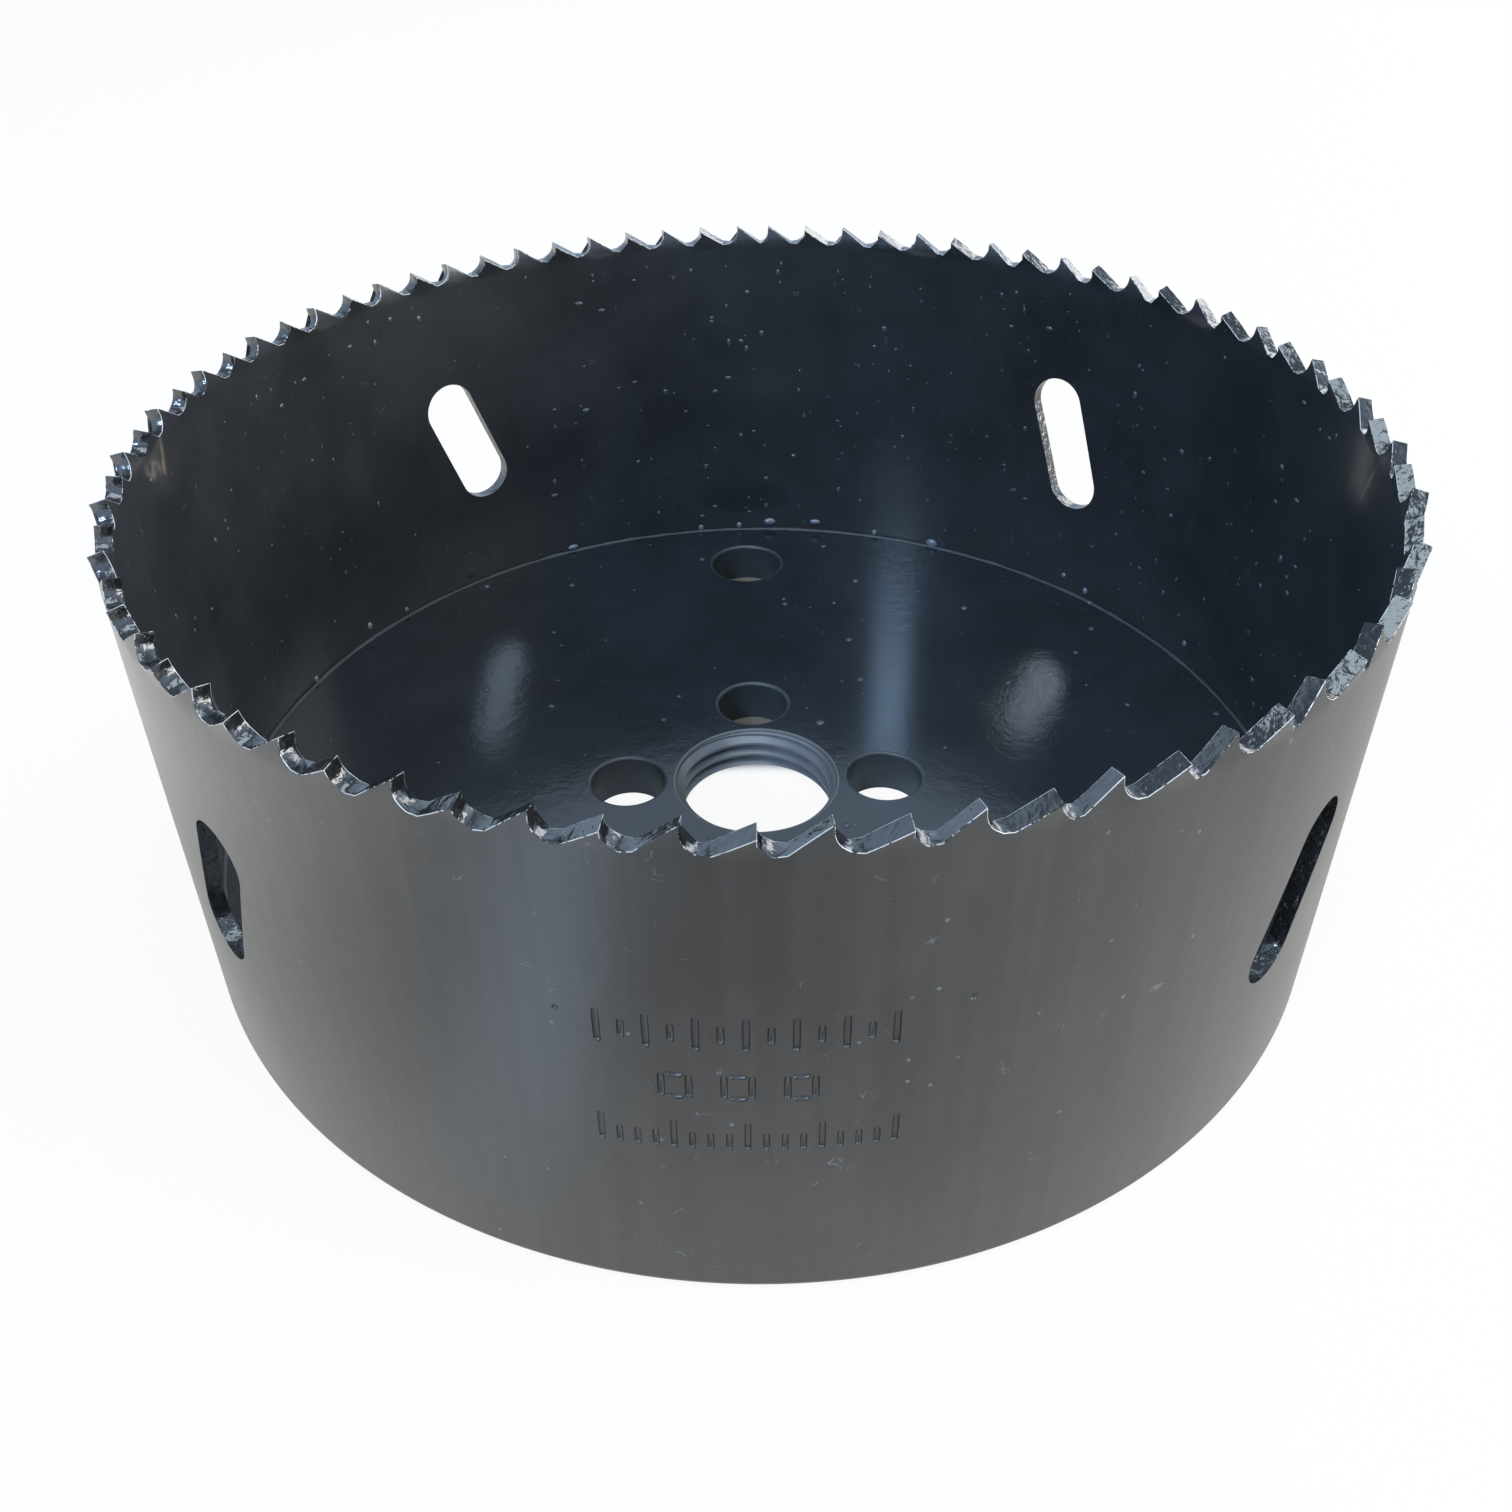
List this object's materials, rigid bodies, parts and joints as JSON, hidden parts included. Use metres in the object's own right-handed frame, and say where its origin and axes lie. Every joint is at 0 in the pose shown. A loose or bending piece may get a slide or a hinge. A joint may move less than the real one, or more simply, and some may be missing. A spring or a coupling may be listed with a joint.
{
  "type": "hole saw",
  "caption": "Toothed steel cup welded round a thick back plate with a threaded arbor hole, for cutting large round holes.",
  "frame": {"origin": "on the arbor axis at the underside of the back plate", "axes": "+Z along the arbor axis towards the teeth, which point up; -Y is the side that carries the size marks"},
  "size_m": [0.1048, 0.1049, 0.0429],
  "materials": {
    "cup_paint": "satin black stoving paint on steel, worn off the tooth corners",
    "plate_paint": "glossy black stoving paint on steel with small specks",
    "weld_paint": "glossy black stoving paint over a weld bead"
  },
  "bodies": {
    "root": {"cup_wall": "cup_paint", "back_plate": "plate_paint", "weld_bead": "weld_paint"}
  },
  "joints": []
}
